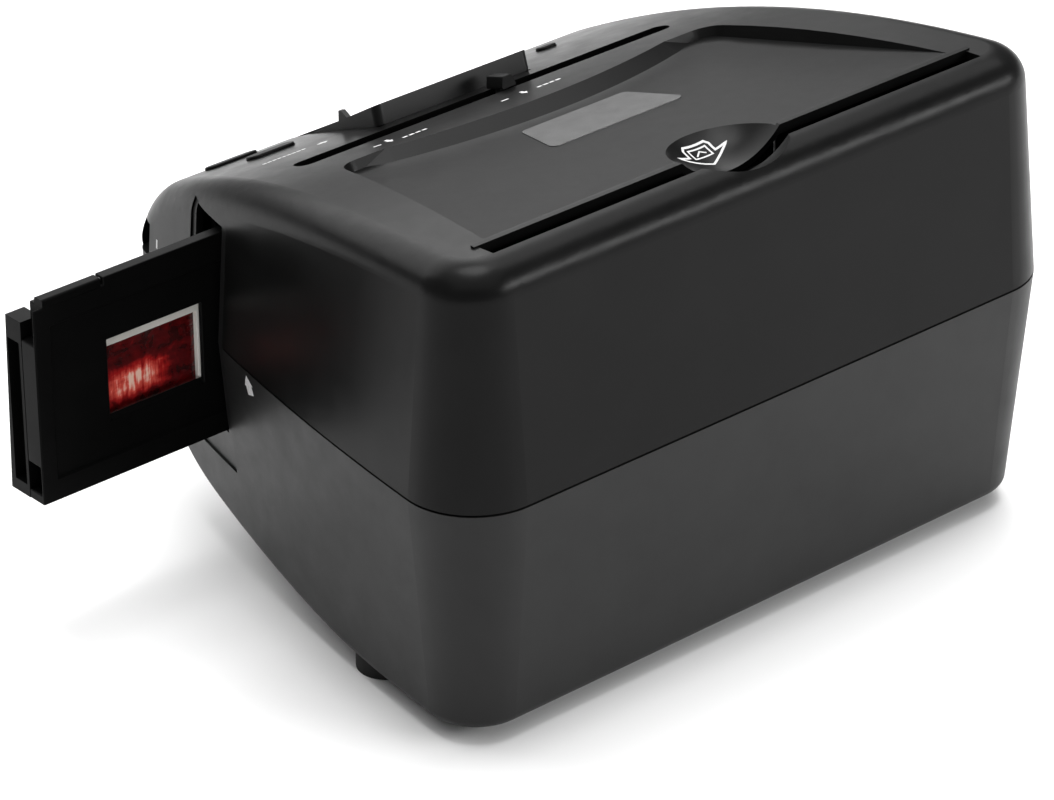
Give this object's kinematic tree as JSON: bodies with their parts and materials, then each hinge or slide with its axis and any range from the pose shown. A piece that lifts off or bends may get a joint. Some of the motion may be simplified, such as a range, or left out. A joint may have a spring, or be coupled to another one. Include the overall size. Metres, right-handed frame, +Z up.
{
  "type": "slide viewer",
  "caption": "Table-top viewer for slides and prints: black two-shell housing, tilted display, print slot on top, mode slider and a slide holder pushed through from side to side.",
  "frame": {"origin": "centre of the flat underside of the housing", "axes": "+X to the user's right, towards the side the slide holder sticks out of; +Y to the rear; +Z up"},
  "size_m": [0.2758, 0.1866, 0.1469],
  "materials": {
    "black_satin": "satin black moulded housing",
    "black_base": "matt black moulded base",
    "black_trim": "gloss black trim",
    "black_holder": "satin black moulded slide holder",
    "internal": "matt black internal moulding",
    "rubber": "matt rubber",
    "steel": "plain steel",
    "badge": "dark satin plate",
    "display_glass": "clear cover window",
    "display": "dark liquid crystal panel",
    "board": "green solder mask",
    "lens_glass": "coated glass",
    "diffuser": "opal diffuser",
    "mount_white": "white slide mount",
    "film": "colour transparency"
  },
  "bodies": {
    "housing": {"upper_shell": "black_satin", "lower_shell": "black_base", "film_slot_bezel_right": "black_base", "film_slot_bezel_left": "black_base", "rubber_feet": "rubber", "case_screws": "steel", "badge_plate": "badge", "lcd_bezel": "black_trim", "lcd_window": "display_glass", "lcd_panel": "display", "photo_slot_guide": "internal", "film_gate_front": "internal", "film_gate_rear": "internal", "film_gate_roof": "internal", "film_gate_floor": "internal", "slider_rods": "steel", "camera_bracket": "internal", "sensor_board": "board", "lens_barrel": "black_trim", "lens_front_element": "lens_glass", "lens_rear_element": "lens_glass", "main_pcb": "board", "pcb_screws": "steel", "led_bar_right": "board", "led_bar_left": "board", "button_board": "board", "io_board": "board", "usb_socket": "steel"},
    "mode_slider": {"slider_knob": "black_trim", "backlight_frame": "internal", "backlight_diffuser": "diffuser", "backlight_board": "board"},
    "slide_holder": {"holder_base": "black_holder", "holder_cover": "black_holder", "holder_latch": "black_holder", "holder_hinge_pin": "steel", "slide_mounts": "mount_white", "slide_films": "film"},
    "button_back": {"button_back": "black_trim"},
    "button_forward": {"button_forward": "black_trim"},
    "button_power": {"button_power": "black_trim"}
  },
  "joints": [
    {"name": "mode_slide", "type": "slide", "parent": "housing", "child": "mode_slider", "axis": [1, 0, 0], "range_m": [0, 0.047]},
    {"name": "holder_slide", "type": "slide", "parent": "housing", "child": "slide_holder", "axis": [1, 0, 0], "range_m": [-0.12, 0.04]},
    {"name": "button_back_press", "type": "slide", "parent": "housing", "child": "button_back", "axis": [0, 0.4613, -0.8873], "range_m": [0, 0.0006], "stiffness_N_per_m": 2500, "springref_m": -0.0003},
    {"name": "button_forward_press", "type": "slide", "parent": "housing", "child": "button_forward", "axis": [0, 0.4167, -0.909], "range_m": [0, 0.0006], "stiffness_N_per_m": 2500, "springref_m": -0.0003},
    {"name": "button_power_press", "type": "slide", "parent": "housing", "child": "button_power", "axis": [0, 0.4174, -0.9087], "range_m": [0, 0.0006], "stiffness_N_per_m": 2500, "springref_m": -0.0003}
  ]
}
